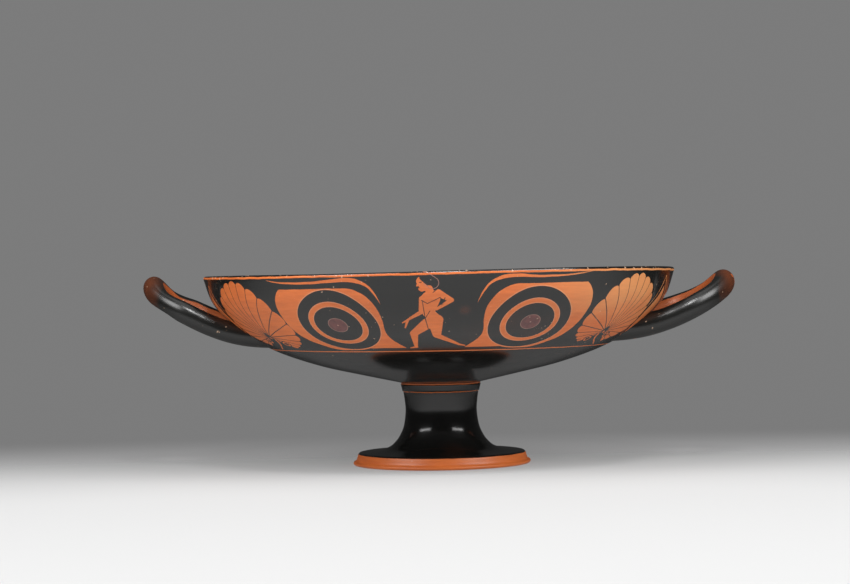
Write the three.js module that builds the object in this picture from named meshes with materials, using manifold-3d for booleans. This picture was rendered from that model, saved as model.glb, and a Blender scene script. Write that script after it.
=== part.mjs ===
// A painted eye-cup, or kylix: a wide, shallow clay drinking bowl on a short stem and a disc foot,
// with two loop handles that curl upward. The potter threw it as one fired piece, so it is one solid.
// Millimetres, +Z up. The origin is the centre of the foot's underside, and the handles lie along X.

import * as THREE from 'three';
import * as BufferGeometryUtils from 'three/addons/utils/BufferGeometryUtils.js';
import Module from 'manifold-3d';

const wasm = await Module();
wasm.setup();

// Round the cup.
const segments = 64;

// The bowl. Its outline is the outer wall from the stem to just under the lip, as radius and height.
const bowlOutline = [
  [29, 57.6],
  [56.5, 63.7],
  [84.5, 70.4],
  [113, 80.3],
  [134, 91.7],
  [149.5, 104.6],
  [159.5, 117],
  [165, 132.7],
];
const bowlSteps = 13;
const floorThickness = 5.8;
const lipThickness = 3.2;
const innerSteps = 10;
const tondoSteps = 2;
// Inside, the wall's slope runs on to this share of the stem's radius, and the floor is level within it.
const tondoKnee = 0.66;
// The rim is a little out of true: it tilts up towards the front right and is warped two-fold there.
const rimTilt = 0.55;
const rimWarp = 0.7;
const rimHighAngle = THREE.MathUtils.degToRad(-43);
const rimWarpStart = 90;

// The stem flares from the foot's top face up to the band that seats the bowl.
const stemOutline = [
  [58, 8.4],
  [48, 9.4],
  [40.5, 10.7],
  [36, 12.6],
  [32.4, 15.9],
  [29.7, 19.5],
  [26.6, 26.5],
  [25.1, 37],
  [25.6, 45],
  [26.4, 50.7],
];
const stemSteps = 10;
// The seating band has a groove below it and another above it.
const bandOutline = [
  [27.2, 51.6],
  [28.1, 55.9],
  [27.7, 56.7],
];

// The foot's edge stands on a small bead, and its underside is hollow up into the stem.
const footEdge = [
  [61.4, 0],
  [62.3, 0.7],
  [62.3, 1.8],
  [61.8, 2.5],
  [60.2, 3.2],
  [58.9, 7.6],
];
const hollowOutline = [
  [0, 39],
  [5, 37],
  [12, 27.5],
  [20, 15.5],
  [31, 7.6],
  [45, 2.6],
];
const hollowSteps = 6;
const bearingRadius = 49;

// The handles: two arms side by side that run out from the wall and join in a half-ellipse.
const armSpacing = 66;
const loopDepth = 31.7;
const rootReach = 114;
const loopPoints = 9;
const handleHalfSides = 7;
const handleSteps = 30;
const sectionSquash = 0.92;
const rootFlare = 0.13;
const rootFlareLength = 40;
// The rolled clay is drawn thin just before the tip, and is thickest at the tip itself.
const waistShare = 0.86;
const waistWidth = 0.14;
const tipShare = 0.9;
const tipSwell = 0.09;
// The back arm starts a little higher than the front one, and comes down to it between these shares.
const backArmStart = 0.5;
const backArmEnd = 0.88;
const handles = [
  {
    side: -1,
    tipReach: 200.8,
    rootHeight: 92.5,
    lift: 45.7,
    sag: 20.7,
    curl: 9.7,
    backRise: 1.5,
    waist: 0.12,
    radius: 7.3,
  },
  {
    side: 1,
    tipReach: 200.4,
    rootHeight: 93.5,
    lift: 36.5,
    sag: 10.6,
    curl: 5.2,
    backRise: 3.8,
    waist: 0.01,
    radius: 7.75,
  },
];
// How far into the wall the handle roots are bedded, short of its inner face.
const rootBedding = 1.2;
const cavityHeadroom = 40;

const clayAndGloss = { color: 0x2c2b28, roughness: 0.28, metalness: 0 };

function toVectors(outline) {
  return outline.map(([radius, height]) => new THREE.Vector2(radius, height));
}

const bowlCurve = new THREE.SplineCurve(toVectors(bowlOutline));

// A point on the inner wall: square to the outer wall, and thinner towards the lip.
// A negative margin moves it back into the clay.
function innerPoint(along, margin) {
  const outer = bowlCurve.getPointAt(along);
  const tangent = bowlCurve.getTangentAt(along);
  const thickness = THREE.MathUtils.lerp(floorThickness, lipThickness, along) + margin;
  return new THREE.Vector2(outer.x - tangent.y * thickness, outer.y + tangent.x * thickness);
}

// The inside of the bowl from the lip down to the axis, the flat tondo last.
function insideProfile(margin) {
  const points = [];
  for (let i = innerSteps; i > 0; i -= 1) {
    points.push(innerPoint(i / innerSteps, margin));
  }
  const edge = innerPoint(0, margin);
  const slope = bowlCurve.getTangentAt(0);
  const floorHeight = edge.y - edge.x * (1 - tondoKnee) * slope.y / slope.x;
  const knee = new THREE.Vector2(edge.x * tondoKnee, floorHeight);
  const tondo = new THREE.QuadraticBezierCurve(edge, knee, new THREE.Vector2(0, floorHeight));
  return points.concat(tondo.getPoints(tondoSteps));
}

// The lip is a half-round between the outer and the inner wall.
function lipProfile() {
  const outer = bowlCurve.getPointAt(1);
  const inner = innerPoint(1, 0);
  const middle = outer.clone().add(inner).multiplyScalar(0.5);
  const spoke = outer.clone().sub(middle);
  const points = [];
  for (const angle of [Math.PI / 4, Math.PI / 2, 3 * Math.PI / 4]) {
    points.push(spoke.clone().rotateAround(new THREE.Vector2(0, 0), angle).add(middle));
  }
  return points;
}

// From the top of the hollow under the foot, round the outside, over the lip and down to the bowl's floor.
function cupProfile() {
  const hollow = new THREE.SplineCurve(toVectors(hollowOutline)).getPoints(hollowSteps);
  const bearing = [new THREE.Vector2(bearingRadius, 0)];
  const stem = new THREE.SplineCurve(toVectors(stemOutline)).getSpacedPoints(stemSteps);
  const bowl = bowlCurve.getSpacedPoints(bowlSteps);
  return [
    ...hollow,
    ...bearing,
    ...toVectors(footEdge),
    ...stem,
    ...toVectors(bandOutline),
    ...bowl,
    ...lipProfile(),
    ...insideProfile(0),
  ];
}

// The space in the bowl and above it, a little larger than the bowl's inside.
function cavityProfile() {
  const inside = insideProfile(-rootBedding).reverse();
  const top = inside.at(-1).clone().add(new THREE.Vector2(0, cavityHeadroom));
  return [...inside, top, new THREE.Vector2(0, top.y)];
}

function revolve(profile) {
  const geometry = new THREE.LatheGeometry(profile, segments);
  geometry.rotateX(Math.PI / 2);
  return geometry;
}

function warpRim(geometry) {
  const position = geometry.attributes.position;
  for (let i = 0; i < position.count; i += 1) {
    const angle = Math.atan2(position.getY(i), position.getX(i)) - rimHighAngle;
    const height = position.getZ(i);
    const share = THREE.MathUtils.smoothstep(height, rimWarpStart, bowlOutline.at(-1)[1]);
    const lean = rimTilt * Math.cos(angle) + rimWarp * Math.cos(2 * angle);
    position.setZ(i, height + share * lean);
  }
}

function reachShare(handle, reach) {
  return (reach - rootReach) / (handle.tipReach - rootReach);
}

// A handle's centre line: it lifts off the wall, levels off a little and curls up at the tip.
function handlePoint(handle, reach, offset) {
  const share = reachShare(handle, reach);
  const bend = handle.lift * share ** 2.5 - handle.sag * share ** 6 + handle.curl * share ** 16;
  const height = handle.rootHeight + bend;
  const settled = THREE.MathUtils.smoothstep(share, backArmStart, backArmEnd);
  const rise = offset > 0 ? handle.backRise * (1 - settled) : 0;
  return new THREE.Vector3(handle.side * reach, offset, height + rise);
}

// How thick the tube is at this reach, as a share of the handle's radius.
function handleThickness(handle, reach) {
  const share = reachShare(handle, reach);
  const root = THREE.MathUtils.clamp(1 - (reach - rootReach) / rootFlareLength, 0, 1);
  const waist = Math.max(1 - ((share - waistShare) / waistWidth) ** 2, 0);
  const tip = THREE.MathUtils.smoothstep(share, tipShare, 1);
  return 1 + rootFlare * root - handle.waist * waist ** 2 + tipSwell * tip;
}

function handleCurve(handle) {
  const halfSpacing = armSpacing / 2;
  const loopStart = handle.tipReach - loopDepth;
  const arm = [rootReach, (rootReach + loopStart) / 2];
  const points = arm.map((reach) => handlePoint(handle, reach, halfSpacing));
  for (let i = 0; i < loopPoints; i += 1) {
    const angle = Math.PI * i / (loopPoints - 1);
    const reach = loopStart + loopDepth * Math.sin(angle);
    points.push(handlePoint(handle, reach, halfSpacing * Math.cos(angle)));
  }
  points.push(...arm.reverse().map((reach) => handlePoint(handle, reach, -halfSpacing)));
  return new THREE.CatmullRomCurve3(points);
}

// A tube along the centre line.
function handleGeometry(handle) {
  const curve = handleCurve(handle);
  const section = new THREE.Shape();
  section.absellipse(0, 0, handle.radius * sectionSquash, handle.radius, 0, 2 * Math.PI);
  const geometry = new THREE.ExtrudeGeometry(section, {
    extrudePath: curve,
    steps: handleSteps,
    curveSegments: handleHalfSides,
  });
  const stations = curve.getSpacedPoints(handleSteps);
  const position = geometry.attributes.position;
  const vertex = new THREE.Vector3();
  for (let i = 0; i < position.count; i += 1) {
    vertex.fromBufferAttribute(position, i);
    const distances = stations.map((station) => station.distanceTo(vertex));
    const centre = stations[distances.indexOf(Math.min(...distances))];
    const thickness = handleThickness(handle, Math.abs(centre.x));
    vertex.sub(centre).multiplyScalar(thickness).add(centre);
    position.setXYZ(i, vertex.x, vertex.y, vertex.z);
  }
  return geometry;
}

// Shared vertices are merged, and faces that the merge has closed up on the axis are left out.
function toSolid(geometry) {
  const bare = geometry.clone();
  bare.deleteAttribute('normal');
  bare.deleteAttribute('uv');
  const merged = BufferGeometryUtils.mergeVertices(bare);
  const faces = [];
  const index = merged.index.array;
  for (let i = 0; i < index.length; i += 3) {
    const [a, b, c] = index.slice(i, i + 3);
    if (a !== b && b !== c && c !== a) {
      faces.push(a, b, c);
    }
  }
  return new wasm.Manifold(new wasm.Mesh({
    numProp: 3,
    vertProperties: Float32Array.from(merged.attributes.position.array),
    triVerts: Uint32Array.from(faces),
  }));
}

function toGeometry(solid) {
  const mesh = solid.getMesh();
  const geometry = new THREE.BufferGeometry();
  geometry.setAttribute('position', new THREE.BufferAttribute(mesh.vertProperties, 3));
  geometry.setIndex(new THREE.BufferAttribute(mesh.triVerts, 1));
  geometry.computeVertexNormals();
  return geometry;
}

function buildCup() {
  const body = revolve(cupProfile());
  warpRim(body);
  const cavity = toSolid(revolve(cavityProfile()));
  let cup = toSolid(body);
  for (const handle of handles) {
    cup = cup.add(toSolid(handleGeometry(handle)).subtract(cavity));
  }
  return toGeometry(cup);
}

const kylix = new THREE.Mesh(buildCup(), new THREE.MeshStandardMaterial(clayAndGloss));
kylix.name = 'kylix';

const model = new THREE.Group();
model.add(kylix);

export default model;
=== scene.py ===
# A painted eye-cup of fired clay: one wide bowl on a stemmed foot, with two upcurled loop handles.
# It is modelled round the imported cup, in metres, +Z up. The side with the runner faces -Y.
from math import atan2, cos, hypot, pi, radians, sin

import bpy
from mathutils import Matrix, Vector


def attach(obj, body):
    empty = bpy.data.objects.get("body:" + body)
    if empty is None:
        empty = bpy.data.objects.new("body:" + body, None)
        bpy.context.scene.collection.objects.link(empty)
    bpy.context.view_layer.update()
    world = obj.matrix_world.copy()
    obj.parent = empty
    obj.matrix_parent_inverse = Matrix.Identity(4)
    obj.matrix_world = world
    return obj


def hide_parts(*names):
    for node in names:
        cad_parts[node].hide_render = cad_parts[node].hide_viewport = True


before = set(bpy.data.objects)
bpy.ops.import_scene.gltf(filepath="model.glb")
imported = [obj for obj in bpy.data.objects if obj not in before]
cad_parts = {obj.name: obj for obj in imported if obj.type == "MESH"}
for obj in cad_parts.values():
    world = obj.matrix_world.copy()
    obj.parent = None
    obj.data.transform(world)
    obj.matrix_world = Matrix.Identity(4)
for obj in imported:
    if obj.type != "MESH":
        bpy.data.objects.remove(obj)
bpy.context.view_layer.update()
mm = 0.001
weld = 0.01 * mm            # points closer than this are one point

bpy.ops.object.select_all(action="DESELECT")

# the camera stands low and square to the front
view = {
    "distance": 1.5724,     # m from the cup's axis
    "eyeHeight": 0.1312,
    "roll": 1.03,           # degrees, right side of the picture up
    "lens": 94.45,
    "sensor": 36,
    "shiftX": -0.01624,
    "shiftY": -0.01765,
}


def placeCamera():
    bpy.ops.object.camera_add(
        location=(0, -view["distance"], view["eyeHeight"]),
        rotation=(radians(90), radians(view["roll"]), 0),
    )
    camera = bpy.context.object
    camera.data.lens = view["lens"]
    camera.data.sensor_width = view["sensor"]
    camera.data.shift_x = view["shiftX"]
    camera.data.shift_y = view["shiftY"]
    bpy.context.scene.camera = camera


placeCamera()
print("camera placed")

# bowl, from stem to lip; radius and height in mm
bowl = {
    "outline": [
        (29, 57.6), (56.5, 63.7), (84.5, 70.4), (113, 80.3),
        (134, 91.7), (149.5, 104.6), (159.5, 117), (165, 132.7),
    ],
    "wallSteps": 400,       # the outline is measured in runs as short as this
    "floor": 5.8,           # wall thickness at the stem
    "lip": 3.2,             # and at the rim
    "outerSteps": 64,
    "innerSteps": 30,
    "lipSteps": 8,
    "tondoSteps": 6,
    "tondoKnee": 0.66,      # inside this share of the stem's radius the floor is level
    "rimTilt": 0.55,        # the rim leans this much
    "rimWarp": 0.7,         # and waves this much
    "rimHigh": -43,         # degrees, where both are highest
    "warpStart": 90,        # height below which the bowl is true
}
stem = {
    "outline": [
        (58, 8.4), (48, 9.4), (40.5, 10.7), (36, 12.6), (32.4, 15.9),
        (29.7, 19.5), (26.6, 26.5), (25.1, 37), (25.6, 45), (26.4, 50.7),
    ],
    "steps": 30,
    "band": [
        (26.55, 51.1), (27.1, 51.5), (27.4, 53), (27.9, 55),
        (28.1, 55.9), (28, 56.4), (27.8, 56.8), (28, 57.2),
    ],
    "foot": [
        (61.2, 0), (61.7, 0.12), (62.1, 0.45), (62.3, 0.9), (62.35, 1.4), (62.25, 1.9),
        (61.95, 2.3), (61.4, 2.55), (60.8, 2.8), (60.4, 3.15), (60.1, 3.7),
        (59.8, 4.6), (59.5, 5.6), (59.25, 6.6), (59, 7.3), (58.6, 7.9),
    ],
    "hollow": [(0, 39), (5, 37), (12, 27.5), (20, 15.5), (31, 7.6), (45, 2.6)],
    "hollowSteps": 14,
    "bearing": [(47.5, 1.1), (48.6, 0.4), (50, 0.05), (51, 0)],
}
turning = {
    "fineArc": 44,          # degrees beside each handle that are turned in finer steps
    "fineSteps": 72,
    "wideSteps": 136,
    "curveSteps": 40,       # between two corners of an outline
}


def smoothLine(corners, steps):
    # a smooth line through the corners, cut into equal runs
    corners = [Vector(c) for c in corners]
    dense = []
    for i in range(len(corners) - 1):
        before = corners[max(i - 1, 0)]
        a, b = corners[i], corners[i + 1]
        after = corners[min(i + 2, len(corners) - 1)]
        pull, push = (b - before) / 2, (after - a) / 2
        for k in range(turning["curveSteps"]):
            t = k / turning["curveSteps"]
            square = (3 * (b - a) - 2 * pull - push) * t ** 2
            cube = (2 * (a - b) + pull + push) * t ** 3
            dense.append(a + pull * t + square + cube)
    dense.append(corners[-1])
    runs = [0]
    for a, b in zip(dense, dense[1:]):
        runs.append(runs[-1] + (b - a).length)
    line, k = [], 0
    for i in range(steps + 1):
        goal = runs[-1] * i / steps
        while k < len(dense) - 2 and runs[k + 1] < goal:
            k += 1
        share = (goal - runs[k]) / (runs[k + 1] - runs[k])
        line.append(dense[k].lerp(dense[k + 1], min(share, 1)))
    return line, runs[-1]


outerWall, wallLength = smoothLine(bowl["outline"], bowl["wallSteps"])


def wallAt(share):
    # the point this far up the outer wall, and the wall's direction there
    place = share * (len(outerWall) - 1)
    k = min(int(place), len(outerWall) - 2)
    return outerWall[k].lerp(outerWall[k + 1], place - k), (outerWall[k + 1] - outerWall[k]).normalized()


def innerWallAt(share, margin=0):
    # square to the outer wall; a negative margin lies inside the clay
    outer, along = wallAt(share)
    thickness = bowl["floor"] + (bowl["lip"] - bowl["floor"]) * share + margin
    return outer + Vector((-along.y, along.x)) * thickness


def insideLine(margin=0):
    # from the lip down to the level middle of the floor
    steps = bowl["innerSteps"]
    line = [innerWallAt(1 - i / steps, margin) for i in range(steps + 1)]
    edge, slope = line[-1], wallAt(0)[1]
    level = edge.y - edge.x * (1 - bowl["tondoKnee"]) * slope.y / slope.x
    knee, centre = Vector((edge.x * bowl["tondoKnee"], level)), Vector((0, level))
    for i in range(1, bowl["tondoSteps"] + 1):
        t = i / bowl["tondoSteps"]
        line.append(edge * (1 - t) ** 2 + knee * 2 * t * (1 - t) + centre * t ** 2)
    return line


def lipLine():
    # a half-round from the outer to the inner wall
    outer, inner = wallAt(1)[0], innerWallAt(1)
    middle = (outer + inner) / 2
    spoke = outer - middle
    line = []
    for i in range(1, bowl["lipSteps"]):
        angle = pi * i / bowl["lipSteps"]
        across = spoke.x * cos(angle) - spoke.y * sin(angle)
        rise = spoke.x * sin(angle) + spoke.y * cos(angle)
        line.append(middle + Vector((across, rise)))
    return line


def cupLine():
    # from the hollow under the foot round the outside and over the lip to the middle of the floor
    hollow = smoothLine(stem["hollow"], stem["hollowSteps"])[0]
    rise = smoothLine(stem["outline"], stem["steps"])[0]
    steps = bowl["outerSteps"]
    outside = [wallAt(i / steps)[0] for i in range(steps + 1)]
    corners = [Vector(c) for c in stem["bearing"] + stem["foot"]]
    band = [Vector(c) for c in stem["band"]]
    return hollow + corners + rise + band + outside + lipLine() + insideLine()


def turn(name, line):
    # the line is drawn point by point and spun round the axis, in finer steps beside the handles
    bpy.ops.mesh.primitive_plane_add(size=mm)
    piece = bpy.context.object
    piece.name = name
    bpy.ops.object.mode_set(mode="EDIT")
    bpy.ops.mesh.merge(type="CENTER")
    spots = [Vector((p.x * mm, 0, p.y * mm)) for p in line]
    bpy.ops.transform.translate(value=spots[0])
    for here, there in zip(spots, spots[1:]):
        bpy.ops.mesh.extrude_vertices_move(TRANSFORM_OT_translate={"value": there - here})
    bpy.ops.mesh.select_all(action="SELECT")
    fine, wide = turning["fineArc"], 180 - turning["fineArc"]
    beside, between = (fine, turning["fineSteps"]), (wide, turning["wideSteps"])
    halfBeside = (fine / 2, turning["fineSteps"] // 2)
    for arc, steps in (halfBeside, between, beside, between, halfBeside):
        bpy.ops.mesh.spin(steps=steps, angle=radians(arc), center=(0, 0, 0), axis=(0, 0, 1))
    bpy.ops.mesh.select_all(action="SELECT")
    bpy.ops.mesh.remove_doubles(threshold=weld)
    bpy.ops.mesh.normals_make_consistent(inside=False)
    bpy.ops.object.mode_set(mode="OBJECT")
    bpy.ops.object.select_all(action="DESELECT")
    return piece


cup = turn("kylix_cup", cupLine())
print("bowl, stem and foot turned", len(cup.data.vertices), "vertices")

# handles; lengths in mm
loops = {
    "spacing": 66,          # between the two arms
    "depth": 31.7,          # of the half-ellipse that joins them
    "root": 114,            # where the arms start, inside the wall
    "squash": 0.92,         # width of the section over its height
    "flare": 0.13,          # thicker by this share where it meets the wall
    "flareLength": 40,
    "swell": 0.09,          # and by this at the tip
    "swellFrom": 0.9, "swellOver": 0.1,         # shares of the reach
    "waistAt": 0.86, "waistWidth": 0.14,
    "backFrom": 0.5, "backOver": 0.38,          # where the back arm comes down to the front one
    "liftPower": 2.5, "sagPower": 6, "curlPower": 16,
    "sides": 28,
    "armSteps": 30,
    "endSteps": 48,
    "bedding": 1.2,         # the roots stop this far short of the inside of the wall
    "headroom": 40,
    "left": {
        "side": -1, "tip": 200.8, "height": 92.5, "lift": 45.7, "sag": 20.7, "curl": 9.7,
        "back": 1.5, "waist": 0.12, "radius": 7.3,
    },
    "right": {
        "side": 1, "tip": 200.4, "height": 93.5, "lift": 36.5, "sag": 10.6, "curl": 5.2,
        "back": 3.8, "waist": 0.01, "radius": 7.75,
    },
}


def ease(share):
    share = min(max(share, 0), 1)
    return share * share * (3 - 2 * share)


def loopShare(handle, reach):
    return (reach - loops["root"]) / (handle["tip"] - loops["root"])


def loopPoint(handle, reach, offset):
    # it lifts off the wall, levels off and curls up; the back arm starts a little higher than the front one
    share = loopShare(handle, reach)
    height = handle["height"] + handle["lift"] * share ** loops["liftPower"]
    height -= handle["sag"] * share ** loops["sagPower"]
    height += handle["curl"] * share ** loops["curlPower"]
    if offset > 0:
        height += handle["back"] * (1 - ease((share - loops["backFrom"]) / loops["backOver"]))
    return Vector((handle["side"] * reach, offset, height))


def loopThickness(handle, reach):
    share = loopShare(handle, reach)
    root = max(1 - (reach - loops["root"]) / loops["flareLength"], 0)
    waist = max(1 - ((share - loops["waistAt"]) / loops["waistWidth"]) ** 2, 0)
    tip = ease((share - loops["swellFrom"]) / loops["swellOver"])
    return 1 + loops["flare"] * root - handle["waist"] * waist ** 2 + loops["swell"] * tip


def loopLine(handle):
    half, start = loops["spacing"] / 2, handle["tip"] - loops["depth"]
    steps = loops["armSteps"]
    reaches = [loops["root"] + (start - loops["root"]) * i / steps for i in range(steps)]
    line = [loopPoint(handle, reach, half) for reach in reaches]
    for i in range(loops["endSteps"] + 1):
        angle = pi * i / loops["endSteps"]
        line.append(loopPoint(handle, start + loops["depth"] * sin(angle), half * cos(angle)))
    return line + [loopPoint(handle, reach, -half) for reach in reversed(reaches)]


def bendHandle(name, handle):
    # a bezier circle for the section, swept along a line of points
    bpy.ops.curve.primitive_bezier_circle_add(radius=handle["radius"] * mm)
    section = bpy.context.object
    section.scale.x = loops["squash"]
    section.data.resolution_u = loops["sides"] // 4
    line = loopLine(handle)
    bpy.ops.curve.primitive_nurbs_path_add()
    piece = bpy.context.object
    piece.name = name
    curve = piece.data
    curve.splines.clear()
    spline = curve.splines.new("POLY")
    spline.points.add(len(line) - 1)
    for point, spot in zip(spline.points, line):
        point.co = (*(spot * mm), 1)
        point.radius = loopThickness(handle, abs(spot.x))
    curve.dimensions = "3D"
    curve.twist_mode = "Z_UP"
    curve.bevel_mode = "OBJECT"
    curve.bevel_object = section
    curve.use_fill_caps = True
    bpy.ops.object.select_all(action="DESELECT")
    piece.select_set(True)
    bpy.context.view_layer.objects.active = piece
    bpy.ops.object.convert(target="MESH")
    bpy.data.objects.remove(section)
    bpy.ops.object.mode_set(mode="EDIT")
    bpy.ops.mesh.select_all(action="SELECT")
    bpy.ops.mesh.remove_doubles(threshold=weld)
    bpy.ops.mesh.normals_make_consistent(inside=False)
    bpy.ops.object.mode_set(mode="OBJECT")
    bpy.ops.object.select_all(action="DESELECT")
    return piece


def combine(piece, other, operation):
    bpy.context.view_layer.objects.active = piece
    cut = piece.modifiers.new("join", "BOOLEAN")
    cut.operation = operation
    cut.solver = "MANIFOLD"
    cut.object = other
    bpy.ops.object.modifier_apply(modifier=cut.name)


def fitHandles():
    # the roots are cut off just short of the inside of the wall, then joined to the cup
    inside = list(reversed(insideLine(-loops["bedding"])))
    top = inside[-1] + Vector((0, loops["headroom"]))
    space = inside + [top, Vector((0, top.y))]
    cavity = turn("cavity", space)
    for name in ("left", "right"):
        handle = bendHandle(name + "_loop", loops[name])
        combine(handle, cavity, "DIFFERENCE")
        combine(cup, handle, "UNION")
        bpy.data.objects.remove(handle)
    bpy.data.objects.remove(cavity)


fitHandles()
print("handles joined", len(cup.data.vertices), "vertices", len(cup.data.polygons), "faces")
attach(cup, "root")
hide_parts("kylix")


# what the painter's and the potter's surfaces share
finish = {
    "clay": (0.86, 0.212, 0.045, 1),
    "clayDark": (0.66, 0.145, 0.03, 1),
    # painted sheen: paler clay high on the right of the frieze
    "clayPaintedSheen": (0.86, 0.42, 0.16, 1),
    # pale grains and specks, and also the painted glints along the eye's rings
    "claySpeckAndGlint": (0.92, 0.62, 0.42, 1),
    "clayRoughness": 0.42,
    "gloss": (0.009, 0.009, 0.0082, 1),
    "glossThin": (0.10, 0.028, 0.011, 1),
    "glossRoughness": 0.17,
    "handleRoughness": 0.3,     # hands have dulled the gloss on the loops
    "purple": (0.17, 0.055, 0.05, 1),           # added red, in the pupils
    "purpleDark": (0.10, 0.035, 0.034, 1),
    "purplePale": (0.6, 0.34, 0.27, 1),         # where it has rubbed off
    "wreath": (0.42, 0.2, 0.16, 1),
    "reflection": 1.56,     # index of refraction
}


class Wire:  # one output of a node, so that masks can be written as sums
    def __init__(self, tree, socket):
        self.tree = tree
        self.socket = socket

    def math(self, operation, *others, clamp=False):
        return node(self.tree, "Math", {"operation": operation, "use_clamp": clamp}, [self, *others])

    def __add__(self, other):
        return self.math("ADD", other)

    def __radd__(self, other):
        return self.math("ADD", other)

    def __sub__(self, other):
        return self.math("SUBTRACT", other)

    def __rsub__(self, other):
        return node(self.tree, "Math", {"operation": "SUBTRACT"}, [other, self])

    def __mul__(self, other):
        return self.math("MULTIPLY", other)

    def __rmul__(self, other):
        return self.math("MULTIPLY", other)

    def __truediv__(self, other):
        return self.math("DIVIDE", other)

    def __neg__(self):
        return self.math("MULTIPLY", -1)

    def __abs__(self):
        return self.math("ABSOLUTE")


def node(tree, kind, settings=None, values=(), output=0):
    # adds any node: its settings first, then what its sockets hold or are linked to
    made = tree.nodes.new("ShaderNode" + kind)
    for name, value in (settings or {}).items():
        if name == "curve":
            points = made.mapping.curves[0].points
            while len(points) < len(value):
                points.new(0.5, 0.5)
            for point, spot in zip(points, value):
                point.location = spot
            made.mapping.update()
        else:
            setattr(made, name, value)
    pairs = values.items() if isinstance(values, dict) else enumerate(values)
    for key, value in pairs:
        if isinstance(value, Wire):
            tree.links.new(value.socket, made.inputs[key])
        elif value is not None:
            made.inputs[key].default_value = value
    return Wire(tree, made.outputs[output]) if len(made.outputs) else None


def least(a, b):
    return a.math("MINIMUM", b)


def most(a, b):
    return a.math("MAXIMUM", b)


def vector(tree, operation, *values, output=0):
    return node(tree, "VectorMath", {"operation": operation}, values, output)


def blend(share, a, b):
    # a mix of two colours; a plain share of plain colours is worked out here
    if not isinstance(share, Wire):
        return tuple(x + (y - x) * share for x, y in zip(a, b))
    return node(share.tree, "Mix", {"data_type": "RGBA"}, {0: share, 6: a, 7: b}, 2)


def within(distance, softness=0.28):
    # 1 where the distance to an outline is below zero, with an edge as soft as a brush leaves it
    return (0.5 - distance / softness).math("ADD", 0, clamp=True)


def bentLine(value, corners):
    # an outline given by a few corners (value, result), from the first value to the last
    tree = value.tree
    low, high = corners[0][0], corners[-1][0]
    bottom, top = min(c[1] for c in corners), max(c[1] for c in corners)
    points = [((x - low) / (high - low), (y - bottom) / (top - bottom)) for x, y in corners]
    share = (value - low) / (high - low)
    bent = node(tree, "FloatCurve", {"curve": points}, {"Factor": 1, "Value": share})
    return bent * (top - bottom) + bottom


def noise(tree, place, scale, detail=2, roughness=0.5, stretch=None):
    if stretch:
        place = vector(tree, "MULTIPLY", place, stretch)
    values = {"Vector": place, "Scale": scale, "Detail": detail, "Roughness": roughness}
    return node(tree, "TexNoise", None, values, "Fac")


def startMaterial(name):
    material = bpy.data.materials.new(name)
    material.use_nodes = True
    tree = material.node_tree
    tree.nodes.clear()
    place = node(tree, "TexCoord", None, (), "Object")
    return material, tree, place


def steps(value, low, high):
    # 0 below low, 1 above high
    return ((value - low) / (high - low)).math("ADD", 0, clamp=True)


def clayColour(tree, place):
    broad = noise(tree, place, 14, 3)
    streaks = noise(tree, place, 60, 3, 0.6, (1, 1, 9))
    fine = noise(tree, place, 700, 2)
    tone = steps(broad * 0.5 + streaks * 0.5, 0.36, 0.66)
    colour = blend(tone, finish["clayDark"], finish["clay"])
    return blend(steps(fine, 0.70, 0.78) * 0.4, colour, finish["claySpeckAndGlint"])


def glossColour(tree, place, thin):
    patches = noise(tree, place, 9, 4, 0.6)
    share = (steps(patches, 0.6, 0.78) * 0.35 + thin).math("ADD", 0, clamp=True)
    return blend(share, finish["gloss"], finish["glossThin"])


def addSpecks(tree, place, colour, more):
    # pale grains where the gloss has flaked, more of them at the rim
    grains = noise(tree, place, 420, 2, 0.4)
    groups = noise(tree, place, 35, 2)
    share = steps(grains + groups * 0.3 + more * 0.1, 0.90, 0.96)
    return blend(share * 0.55, colour, finish["claySpeckAndGlint"])


def finishMaterial(tree, place, clay, colour, glossRoughness):
    # fine grain and the wheel's rings under either surface; the gloss is smoother than bare clay
    grain = noise(tree, place, 900, 3, 0.6)
    wheel = noise(tree, place, 40, 2, 0.5, (0.6, 0.6, 14))
    height = grain * 0.03 + wheel * 0.25
    roughness = clay * (finish["clayRoughness"] - glossRoughness) + glossRoughness
    bump = node(tree, "Bump", None, {"Strength": 0.25, "Distance": 0.0002, "Height": height}, "Normal")
    values = {"Base Color": colour, "Roughness": roughness, "Normal": bump, "IOR": finish["reflection"]}
    surface = node(tree, "BsdfPrincipled", None, values)
    node(tree, "OutputMaterial", None, {"Surface": surface})


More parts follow.
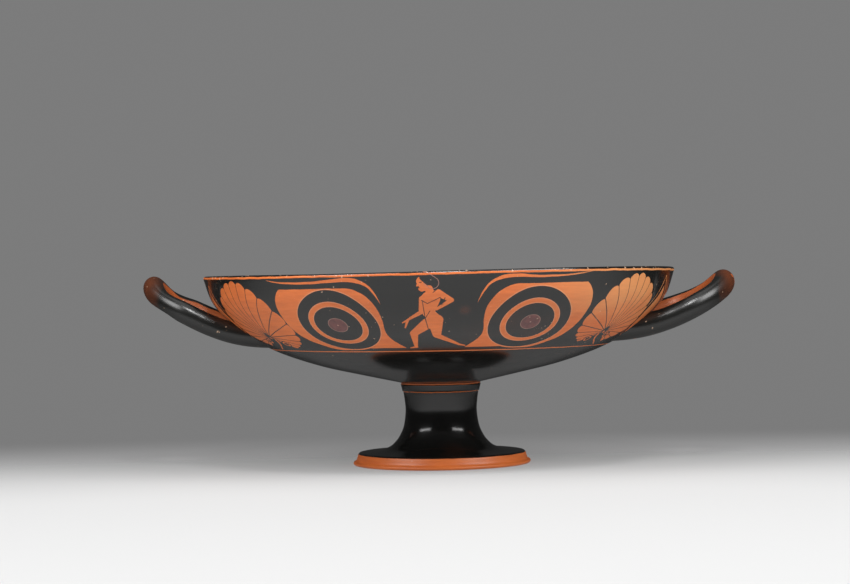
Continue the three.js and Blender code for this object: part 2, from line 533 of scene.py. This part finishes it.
# painted frieze; angles in degrees from the middle of the frieze, runs in mm down the wall from the rim
frieze = {
    "turn": 1.55,           # the frieze's middle stands this far to the left
    "wobble": 0.9,          # how far the brush strays
    "rimBand": (0.25, 1.55),
    "rimSlip": 0.45,        # the band sits lower on the right by this, and higher on the left
    "groundLine": (70.9, 72.3),
    "smudge": (7.6, 27), "smudgeSize": 5,       # a brown patch beside the runner
    "eye": {
        "angle": 25.25, "run": 39, "perDegree": 2.5,
        "pupil": 6.7, "iris": 16.6, "ring": 20.6, "ball": 28.45, "field": 29.9,
        "inner": [
            (9, 20.3), (11.3, 17.3), (16.7, 14.85), (24.4, 13.35), (34, 12.75),
            (47, 12.8), (54, 12), (61, 10.2), (67, 8.3),
        ],
        "outer": [
            (9, 38.2), (12, 39.4), (18, 40.5), (31, 41.2), (44, 40.9),
            (54, 39.2), (62, 35.8), (67, 32.6), (70, 28),
        ],
        "top": 8.9, "bottom": 66.3,
        "drop": 2.6, "dropFrom": 24, "dropTo": 25.2,        # the outer half hangs lower
        # the right eye's outlines are shifted in degrees, more so from one run to the other
        "shiftFrom": 25, "shiftTo": 50,
        "innerShift": 0.5, "innerMore": -0.8, "outerShift": 0.2, "outerMore": 0.9,
    },
    "brow": {
        "upper": [
            (12.2, 21), (12.6, 16.5), (13.4, 11.6), (14.6, 7.4), (16.2, 4.3), (18.6, 2.2),
            (21.5, 2.2), (26, 3.6), (32, 4.2), (38, 3.6), (41.5, 2.5),
        ],
        "lower": [
            (12.2, 21), (12.9, 16.5), (14, 11.6), (15.4, 7.8), (17.2, 5.8), (19.4, 4.8),
            (22, 4.7), (26, 5.4), (32, 5.6), (38, 4.5), (41.5, 2.7),
        ],
        # the right brow stands nearer the middle, leans and is thinner
        "slip": 1.8, "tilt": 0.08, "tiltFrom": 23, "thinner": 0.15,
    },
    "palmette": {
        "angle": 56, "run": 52.3, "lean": 4, "size": 1.02,
        "slip": 0.5, "lift": 0.8, "smaller": 0.04,          # how the right one differs
        # how far the petals reach in each direction, and which petal stands there
        "reach": [
            (-180, 14), (-120, 22), (-86, 34), (-66, 39), (-55, 41.4), (-40, 45),
            (-28, 47.2), (-12, 48.3), (0, 48.9), (20, 47.6), (36, 46.8), (50, 44.4),
            (61, 41.6), (70, 38.2), (82, 34.3), (97, 29.3), (125, 21.8), (180, 15),
        ],
        "petals": [
            (-180, -12.5), (-93, -6), (-64, -4), (-21, -1), (-9, 0),
            (16, 2), (64, 5), (96, 7), (180, 14.5),
        ],
        "petalAngle": 7.2, "round": 0.98, "scallop": 3.4, "line": 0.27,
        "foot": 132, "footTurn": 2,
        "heart": 3.6, "heartWide": 1.7, "heartTall": 0.8, "drop": 1.4, "dropWide": 2.4,
    },
    "scrolls": {
        "rings": [((9.3, 8.7), 2.4), ((-8.3, 5.2), 2.2)],
        "ringGround": 1.5, "ringLine": 0.55,
        "stem": [(55, 3.5), (58, 2.4), (62, 0), (66, -5), (69.5, -9.5)],
        "stemGround": 1.9, "stemLine": 0.75, "slant": 0.8,
    },
    "panel": {
        "axis": [(5, 73.2), (30, 74.3), (60, 75)],
        "half": [(5, 0), (8, 1), (12, 2.1), (20, 4.1), (30, 5.8), (40, 6.3), (52, 4.6), (60, 0)],
        "top": 5.5, "line": 0.9, "gap": 4.2, "perDegree": 2.3,
    },
}


def turnedPlace(tree, place):
    # how far to the side and to the front a point lies, once the frieze is turned a little
    shift = radians(frieze["turn"])
    across = node(tree, "SeparateXYZ", None, [place], "X")
    along = node(tree, "SeparateXYZ", None, [place], "Y")
    height = node(tree, "SeparateXYZ", None, [place], "Z")
    side = across * cos(shift) + along * -sin(shift)
    front = along * -cos(shift) + across * -sin(shift)
    return side, front, height


def eyeDistance(tree, folded, angle, run, right):
    eye = frieze["eye"]
    radius, height = runPoint(eye["run"])
    turned = radians(eye["angle"])
    centre = (radius * sin(turned) * mm, radius * cos(turned) * mm, height * mm)
    away = vector(tree, "DISTANCE", folded, centre, output="Value") * (1 / mm)
    low = steps(run, eye["shiftFrom"], eye["shiftTo"])
    inner = bentLine(run, eye["inner"]) - right * (low * eye["innerMore"] + eye["innerShift"])
    outer = bentLine(run, eye["outer"]) - right * (low * eye["outerMore"] + eye["outerShift"])
    bottom = steps(angle, eye["dropFrom"], eye["dropTo"]) * eye["drop"] + eye["bottom"]
    field = most((inner - angle) * eye["perDegree"], (angle - outer) * eye["perDegree"])
    field = least(most(field, run - bottom), away - eye["field"])
    field = most(most(field, eye["top"] - run), eye["ball"] - away)
    middle, half = (eye["iris"] + eye["ring"]) / 2, (eye["ring"] - eye["iris"]) / 2
    ring = abs(away - middle) - half
    return least(field, ring), away


def browDistance(angle, run, right):
    brow = frieze["brow"]
    start, end = brow["upper"][0][0], brow["upper"][-1][0]
    angle = angle + right * brow["slip"]
    run = run - right * (brow["tiltFrom"] - angle) * brow["tilt"]
    upper, lower = bentLine(angle, brow["upper"]), bentLine(angle, brow["lower"])
    stroke = most(upper - run, run - lower) + right * brow["thinner"]
    return most(stroke, most(start - angle, angle - end))


def palmettePlace(angle, run, girth, right):
    # mm from the palmette's heart, towards the eye and up
    palm = frieze["palmette"]
    across = (palm["angle"] - right * palm["slip"] - angle) * girth * radians(1)
    up = palm["run"] - right * palm["lift"] - run
    return across, up


def palmetteDistance(across, up, right):
    palm = frieze["palmette"]
    reach = (across * across + up * up).math("SQRT")
    turned = across.math("ARCTAN2", up) * (180 / pi) - palm["lean"] + right * palm["lean"] * 2
    petals = bentLine(turned, palm["petals"])
    offCentre = abs(petals - petals.math("FLOOR") - 0.5) * 2       # 0 in a petal's middle, 1 between two
    envelope = bentLine(turned, palm["reach"]) * (palm["size"] - right * palm["smaller"])
    tip = (1 - offCentre * offCentre * palm["round"]).math("SQRT")
    edge = envelope - (1 - tip) * palm["scallop"]
    shape = most(reach - edge, (abs(turned - palm["footTurn"]) - palm["foot"]) * reach * radians(1))
    seam = (1 - offCentre) * reach * radians(palm["petalAngle"]) - palm["line"]
    shape = most(shape, -seam)
    # the heart is a dark drop with a small light one in it
    high, low = up - 1, up + 1
    heart = across * across * palm["heartWide"] + high * high * palm["heartTall"]
    drop = across * across * palm["dropWide"] + low * low
    shape = most(shape, palm["heart"] - heart.math("SQRT"))
    return least(shape, drop.math("SQRT") - palm["drop"])


def addScrolls(shape, across, up):
    # two volutes under the heart, on dark ground, and the stem that runs from them to the ground line
    scrolls = frieze["scrolls"]
    for (side, fall), radius in scrolls["rings"]:
        beside, below = across - side, up + fall
        away = (beside * beside + below * below).math("SQRT")
        shape = most(shape, radius + scrolls["ringGround"] - away)
        shape = least(shape, abs(away - radius) - scrolls["ringLine"])
    run = frieze["palmette"]["run"] - up
    start, end = scrolls["stem"][0][0], scrolls["stem"][-1][0]
    away = abs(across - bentLine(run, scrolls["stem"])) * scrolls["slant"]
    ends = most(start - run, run - end)
    shape = most(shape, -most(away - scrolls["stemGround"], ends))
    return least(shape, most(away - scrolls["stemLine"], ends))


def panelDistance(angle, run):
    # a lancet beside each handle: a thin outline, a gap, and a reserved middle
    panel = frieze["panel"]
    axis, half = bentLine(run, panel["axis"]), bentLine(run, panel["half"])
    away = most((abs(angle - axis) - half) * panel["perDegree"], panel["top"] - run)
    outline = abs(away + panel["line"] / 2) - panel["line"] / 2
    return least(outline, away + panel["line"] + panel["gap"])


def bandDistance(side, run):
    # the band along the rim and the line that the frieze stands on
    low, high = frieze["rimBand"]
    middle = side * (frieze["rimSlip"] / (bowl["outline"][-1][0] * mm)) + (low + high) / 2
    rim = abs(run - middle) - (high - low) / 2
    low, high = frieze["groundLine"]
    return least(rim, abs(run - (low + high) / 2) - (high - low) / 2)


def limb(tree, spot, start, end, thick, thin):
    # distance to a tapered limb from start to end
    ax, ay = start
    bx, by = end
    square = (bx - ax) ** 2 + (by - ay) ** 2
    fromStart = vector(tree, "SUBTRACT", spot, (ax, ay, 0))
    unit = ((bx - ax) / square, (by - ay) / square, 0)
    along = vector(tree, "DOT_PRODUCT", fromStart, unit, output="Value").math("ADD", 0, clamp=True)
    nearest = node(tree, "VectorMath", {"operation": "SCALE"}, {0: (bx - ax, by - ay, 0), "Scale": along})
    away = vector(tree, "DISTANCE", fromStart, nearest, output="Value")
    return away - (along * (thin - thick) + thick)


# the runner: joints as (degrees from the middle, mm from the rim), and how thick a limb is at each
runner = {
    "perDegree": 2.7,       # mm across the wall
    "body": [
        ((-0.7, 10.7), (-0.4, 15), 2.3, 3),
        ((-1.75, 17.4), (1, 14.2), 2.8, 2.5),
        ((-0.4, 18), (-1.1, 28.5), 5.9, 3.8),
        ((-0.9, 28.5), (0.35, 35.5), 3.8, 5.5),
        ((0.5, 35.4), (0.75, 49.5), 5.4, 3.2),
        ((0.7, 50.8), (7, 62), 2.6, 1.1),
        ((7, 62.2), (8.8, 63.8), 1.1, 0.7),
        ((-1.3, 38), (-5.3, 48.3), 4.6, 3),
        ((-5.3, 48.7), (-5.5, 63.5), 2.9, 1.4),
        ((-5.4, 65), (-7.2, 66.2), 1.3, 0.7),
        ((1.35, 13.6), (4.3, 19), 2.4, 1.7),
        ((4.3, 19.2), (0.9, 25.6), 1.6, 1),
        ((-2.35, 17.6), (-2.7, 27), 1.9, 1.7),
        ((-2.7, 27.7), (-6.35, 34.7), 1.6, 0.9),
        ((-6.35, 34.7), (-7.7, 37.2), 0.9, 0.5),
        ((-6.4, 35.4), (-7.3, 42), 1, 0.5),
    ],
    "creases": [
        ((-2.5, 18.8), (-1.2, 21.2), 0.26), ((-1.2, 21.2), (1.8, 16.8), 0.26),
        ((-2.3, 19), (-1.95, 33.5), 0.24), ((-1.95, 33.5), (-0.7, 27), 0.24),
        ((-1.95, 33.5), (-1.4, 43.5), 0.28), ((0.2, 13.2), (1.1, 11.2), 0.24),
        ((2.9, 17.2), (2.1, 22.4), 0.26),
    ],
    "face": [
        ((-2.3, 5.6), (-1.8, 9.6), 3.2, 2.6),
        ((-3, 7), (-3.35, 8.5), 0.8, 0.5),
        ((-2.6, 10.6), (-2.3, 11), 1.3, 1.5),
    ],
    "features": [((-2.75, 6.2), (-2.35, 6.2), 0.26), ((-3.1, 10), (-2.8, 9.9), 0.16)],
    "hair": [((-1.7, 2.8), (0.1, 7), 2.9, 3.3)],
    "wreathOff": 0.5, "wreathLine": 0.2, "wreathFrom": -1.9,
}


def runnerDistance(tree, spot, angle):
    per = runner["perDegree"]

    def at(joint):
        return joint[0] * per, joint[1]

    def joined(parts):
        found = None
        for start, end, *sizes in parts:
            part = limb(tree, spot, at(start), at(end), sizes[0], sizes[-1])
            found = part if found is None else least(found, part)
        return found

    body = most(joined(runner["body"]), -joined(runner["creases"]))
    # dark hair with a thin line round it, over a face that looks to the left
    hair = joined(runner["hair"])
    face = most(joined(runner["face"]), -least(hair, joined(runner["features"])))
    wreath = abs(hair - runner["wreathOff"]) - runner["wreathLine"]
    return least(body, face), most(wreath, (runner["wreathFrom"] - angle) * per)


def friezeGloss(tree, place, spot):
    x, run = frieze["smudge"]
    smudge = vector(tree, "DISTANCE", spot, (x * runner["perDegree"], run, 0), output="Value")
    thin = steps(noise(tree, place, 30, 3), 0.75, 0.9)
    return glossColour(tree, place, thin + steps(-smudge, -frieze["smudgeSize"], -1) * 0.5)


def friezeClay(tree, place, side, run, away):
    # the clay is paler high on the right, a painted sheen, and thin pale lines along the eye's rings are
    # painted glints on the raised lines
    eye = frieze["eye"]
    # painted sheen: paler clay on the right, fading down the wall
    pale = steps(side, 0.06, 0.13) * steps(noise(tree, place, 22, 3) - run * 0.008, 0.1, 0.42)
    colour = blend(pale * 0.6, clayColour(tree, place), finish["clayPaintedSheen"])
    # painted glints: thin pale lines along the raised edges of the eye's rings
    outline = least(abs(away - eye["ball"] - 0.3), abs(away - eye["ring"] + 0.25))
    outline = least(outline, abs(away - eye["iris"] - 0.2))
    return blend(within(outline - 0.2) * 0.35, colour, finish["claySpeckAndGlint"])


def addPupil(tree, place, colour, away):
    # added red, mottled, with a dot in its middle and a thin pale edge
    pupil = frieze["eye"]["pupil"]
    mottled = steps(noise(tree, place, 260, 3), 0.35, 0.7)
    colour = blend(within(away - pupil, 0.5), colour, blend(mottled, finish["purple"], finish["purpleDark"]))
    dot = least(away - 0.6, abs(away - pupil) - 0.2)
    return blend(within(dot) * 0.5, colour, finish["purplePale"])


def paintFrieze():
    material, tree, place = startMaterial("painted_wall")
    run = node(tree, "Attribute", {"attribute_name": "wallRun"}, (), "Fac")
    run = run + (noise(tree, place, 90, 2) - 0.5) * frieze["wobble"]
    side, front, height = turnedPlace(tree, place)
    # the back repeats the front, and the right half mirrors the left apart from small shifts
    girth = (side * side + front * front).math("SQRT") * (1 / mm)
    folded = node(tree, "CombineXYZ", None, [abs(side), abs(front), height])
    angle = abs(side).math("ARCTAN2", abs(front)) * (180 / pi)
    signed = side.math("ARCTAN2", abs(front)) * (180 / pi)
    right = steps(side, -0.5 * mm, 0.5 * mm)
    shape, away = eyeDistance(tree, folded, angle, run, right)
    shape = least(shape, browDistance(angle, run, right))
    across, up = palmettePlace(angle, run, girth, right)
    shape = least(shape, addScrolls(palmetteDistance(across, up, right), across, up))
    shape = least(shape, panelDistance(angle, run))
    spot = node(tree, "CombineXYZ", None, [signed * runner["perDegree"], run])
    figure, wreath = runnerDistance(tree, spot, signed)
    shape = least(least(shape, figure), bandDistance(side, run))
    clay = within(shape)
    dark, light = friezeGloss(tree, place, spot), friezeClay(tree, place, side, run, away)
    colour = addPupil(tree, place, blend(clay, dark, light), away)
    colour = blend(within(wreath) * 0.8, colour, finish["wreath"])
    colour = addSpecks(tree, place, colour, steps(-run, -3, 0))
    finishMaterial(tree, place, clay, colour, finish["glossRoughness"])
    return material


def runPoint(run):
    # radius and height of the outer wall this far down from the rim's top
    share = 1 - (run - lipRise) / wallLength
    return wallAt(share)[0]


def paintPlain(name, rings):
    # gloss all over, with reserved rings at the given heights in mm
    material, tree, place = startMaterial(name)
    height = node(tree, "SeparateXYZ", None, [place], "Z") * (1 / mm)
    wobble = (noise(tree, place, 120, 2) - 0.5) * 0.5
    height = height + wobble
    shape = None
    for low, high in rings:
        ring = abs(height - (low + high) / 2) - (high - low) / 2
        shape = ring if shape is None else least(shape, ring)
    clay = within(shape)
    thin = noise(tree, place, 30, 3)
    colour = blend(clay, glossColour(tree, place, steps(thin, 0.75, 0.9)), clayColour(tree, place))
    finishMaterial(tree, place, clay, colour, finish["glossRoughness"])
    return material


# the strip of bare clay along the inside of each loop; reaches from the axis in mm
strip = {
    "edge": 0.55,           # how far round the section it begins; 1 is the loop's inmost line
    "narrower": 0.2, "narrowFrom": 160, "narrowTo": 188,        # on the left, towards the tip
    "close": 0.5, "closeFrom": 190, "closeTo": 199,             # it stops before the tip
    "thinFrom": 186, "thinTo": 206,                             # where the gloss wears thin
    "chipFrom": 198, "chipTo": 207,
}


def paintHandles():
    material, tree, place = startMaterial("painted_handles")
    inward = node(tree, "Attribute", {"attribute_name": "loopSide"}, (), "Fac")
    across = node(tree, "SeparateXYZ", None, [place], "X")
    reach = abs(across) * (1 / mm)
    wobble = (noise(tree, place, 110, 2) - 0.5) * 0.2
    onLeft = steps(across, 10 * mm, -10 * mm)
    narrow = steps(reach, strip["narrowFrom"], strip["narrowTo"]) * onLeft * strip["narrower"]
    close = steps(reach, strip["closeFrom"], strip["closeTo"]) * strip["close"]
    clay = within(narrow + close + strip["edge"] - inward - wobble, 0.08)
    patches = noise(tree, place, 55, 4, 0.6)
    tip = steps(reach, strip["thinFrom"], strip["thinTo"])
    dark = glossColour(tree, place, steps(patches * 0.5 + tip * 0.65, 0.45, 0.85))
    # painted shade: the bare strip inside the loop is coloured half dark clay and half thin gloss
    colour = blend(clay, dark, blend(0.5, finish["clayDark"], finish["glossThin"]))
    chipped = steps(reach, strip["chipFrom"], strip["chipTo"]) * 0.1
    chips = steps(noise(tree, place, 160, 2) + chipped, 0.74, 0.77)
    colour = addSpecks(tree, place, blend(chips, colour, finish["clayDark"]), 0)
    finishMaterial(tree, place, clay, colour, finish["handleRoughness"])
    return material


lipRise = 1.3               # mm from the rim's top down to where the outer wall begins
regions = ["wall", "inside", "stem", "handles"]
# where one paint meets the next, in mm
edges = {
    "stemTop": 57.3,
    "lipHeight": 133.2,     # over this height the inside's gloss begins at lipRadius
    "lipRadius": 162,
    "floorHeight": 80,      # under this height a face this level is the bowl's floor
    "floorLevel": 0.5,
    "loopLow": 60,          # the handles lie above this height and within this box
    "loopHalf": 48, "loopFrom": 100,
    "proud": 0.6,           # a face that stands this far out of the wall is a handle's
    "marked": -0.5,         # a vertex out to here is measured for the strip
    "fade": 6,              # the rim's warp dies out this far along a handle
}


def nearestRun(height):
    # mm down the wall from the rim's top, at a height in mm
    if height >= outerWall[-1].y:
        return lipRise - (height - outerWall[-1].y), outerWall[-1].x
    low, high = 0, len(outerWall) - 1
    while high - low > 1:
        middle = (low + high) // 2
        if outerWall[middle].y < height:
            low = middle
        else:
            high = middle
    share = (height - outerWall[low].y) / (outerWall[high].y - outerWall[low].y)
    run = lipRise + wallLength * (1 - (low + share) / (len(outerWall) - 1))
    return run, outerWall[low].lerp(outerWall[high], min(max(share, 0), 1)).x


def loopSide(spot, path, handle):
    # 1 on the inside of the loop, -1 on its outside
    near = min(range(len(path)), key=lambda i: (path[i] - spot).length_squared)
    along = path[min(near + 1, len(path) - 1)] - path[max(near - 1, 0)]
    inward = Vector((0, 0, 1)).cross(along.normalized()).normalized() * -handle["side"]
    return (spot - path[near]).dot(inward) / (handle["radius"] * loops["squash"])


def regionOf(face, out):
    spot, normal = face.center / mm, face.normal
    radius = hypot(spot.x, spot.y)
    outward = spot.x * normal.x + spot.y * normal.y
    if out > edges["proud"]:
        return "handles"
    if spot.z < edges["stemTop"]:
        return "stem"
    if spot.z > edges["lipHeight"]:
        return "inside" if radius < edges["lipRadius"] else "wall"
    floor = spot.z <= edges["floorHeight"] and normal.z > edges["floorLevel"]
    return "inside" if outward < 0 or floor else "wall"


def markSurface():
    # the paint reads how far down the wall a vertex lies, and how far round to the loop's inside
    mesh = cup.data
    runs, sides, proud = [], [], []
    paths = {name: loopLine(loops[name]) for name in ("left", "right")}
    for vertex in mesh.vertices:
        spot = vertex.co / mm
        run, wallRadius = nearestRun(spot.z)
        out = hypot(spot.x, spot.y) - wallRadius if spot.z > edges["loopLow"] else -edges["fade"]
        beside = abs(spot.y) < edges["loopHalf"] and abs(spot.x) > edges["loopFrom"]
        name = "left" if spot.x < 0 else "right"
        onLoop = out > edges["marked"] and beside
        runs.append(run)
        proud.append(out)
        sides.append(loopSide(spot, paths[name], loops[name]) if onLoop else 0)
    for name, values in (("wallRun", runs), ("loopSide", sides)):
        layer = mesh.attributes.new(name, "FLOAT", "POINT")
        layer.data.foreach_set("value", values)
    for face in mesh.polygons:
        face.material_index = regions.index(regionOf(face, max(proud[i] for i in face.vertices)))
    return proud


def warpRim(proud):
    # the rim isn't quite level; the handles stay as they are
    start, top = bowl["warpStart"], bowl["outline"][-1][1]
    for vertex, out in zip(cup.data.vertices, proud):
        share = ease((vertex.co.z / mm - start) / (top - start)) * min(max(1 - out / edges["fade"], 0), 1)
        angle = atan2(vertex.co.y, vertex.co.x) - radians(bowl["rimHigh"])
        lean = bowl["rimTilt"] * cos(angle) + bowl["rimWarp"] * cos(2 * angle)
        vertex.co.z += share * lean * mm


cup.data.materials.clear()
for material in (
    paintFrieze(),
    paintPlain("gloss_inside", [(128, 129)]),
    paintPlain("gloss_stem", [(-1, 7.7), (50.9, 51.5), (56.3, 57.1)]),
    paintHandles(),
):
    cup.data.materials.append(material)
print("paint and gloss mixed")
warpRim(markSurface())
print("surface marked for the paint")

bpy.context.view_layer.objects.active = cup
cup.select_set(True)
bpy.ops.object.shade_smooth_by_angle(angle=radians(60))
bpy.ops.object.select_all(action="DESELECT")


stage = {
    "pale": (0.4, 0.4, 0.4, 1),
    "glow": 0.25,           # keeps the cup's shadow on the floor soft
    "pool": (0, -0.45),     # middle of the pale part of the floor, which is twice as wide as it is deep
    "poolInner": 0.22,      # m from there, where it starts to go grey
    "poolOuter": 0.76,
    "backdrop": 0.2,        # grey that the camera sees behind the cup
    "air": 0.035,           # and the light from all sides
    # soft boxes: place, size and power
    "boxes": [
        ((-1.2, -0.9, 1.35), 1.1, 27),
        ((1.2, -0.9, 1.35), 1.1, 29),
        ((0.1, -1.1, 1.6), 0.4, 17),
        ((0, 0.1, 1.9), 1.2, 4),
    ],
    "aim": (0, 0, 0.08),
}


def makeFloor():
    # a pale floor that fades into the backdrop, so that no horizon shows
    bpy.ops.mesh.primitive_plane_add(size=12)
    floor = bpy.context.object
    floor.name = "floor"
    material, tree, place = startMaterial("studio_floor")
    wide = vector(tree, "MULTIPLY", place, (0.5, 1, 1))
    away = vector(tree, "DISTANCE", wide, (*stage["pool"], 0), output="Value")
    far = node(tree, "MapRange", {"interpolation_type": "SMOOTHSTEP"},
               {"Value": away, "From Min": stage["poolInner"], "From Max": stage["poolOuter"]})
    pale = node(tree, "BsdfPrincipled", None, {
        "Base Color": stage["pale"], "Roughness": 0.7, "Specular IOR Level": 0.1,
        "Emission Color": (1, 1, 1, 1), "Emission Strength": stage["glow"],
    }, "BSDF")
    clear = node(tree, "BsdfTransparent", None, (), "BSDF")
    surface = node(tree, "MixShader", None, {0: far, 1: pale, 2: clear}, "Shader")
    node(tree, "OutputMaterial", None, {"Surface": surface})
    floor.data.materials.append(material)


def makeAir():
    world = bpy.data.worlds.new("studio_air")
    world.use_nodes = True
    tree = world.node_tree
    tree.nodes.clear()
    seen = node(tree, "LightPath", None, (), "Is Camera Ray")
    strength = seen * (stage["backdrop"] - stage["air"]) + stage["air"]
    air = node(tree, "Background", None, {"Color": (1, 1, 1, 1), "Strength": strength}, "Background")
    node(tree, "OutputWorld", None, {"Surface": air})
    bpy.context.scene.world = world


def lightBoxes():
    for spot, size, power in stage["boxes"]:
        bpy.ops.object.light_add(type="AREA", location=spot)
        lamp = bpy.context.object
        lamp.data.shape = "SQUARE"
        lamp.data.size = size
        lamp.data.energy = power
        lamp.rotation_euler = (Vector(stage["aim"]) - lamp.location).to_track_quat("-Z", "Y").to_euler()


makeFloor()
makeAir()
lightBoxes()
bpy.context.scene.view_settings.view_transform = "Standard"
print("stage lit")
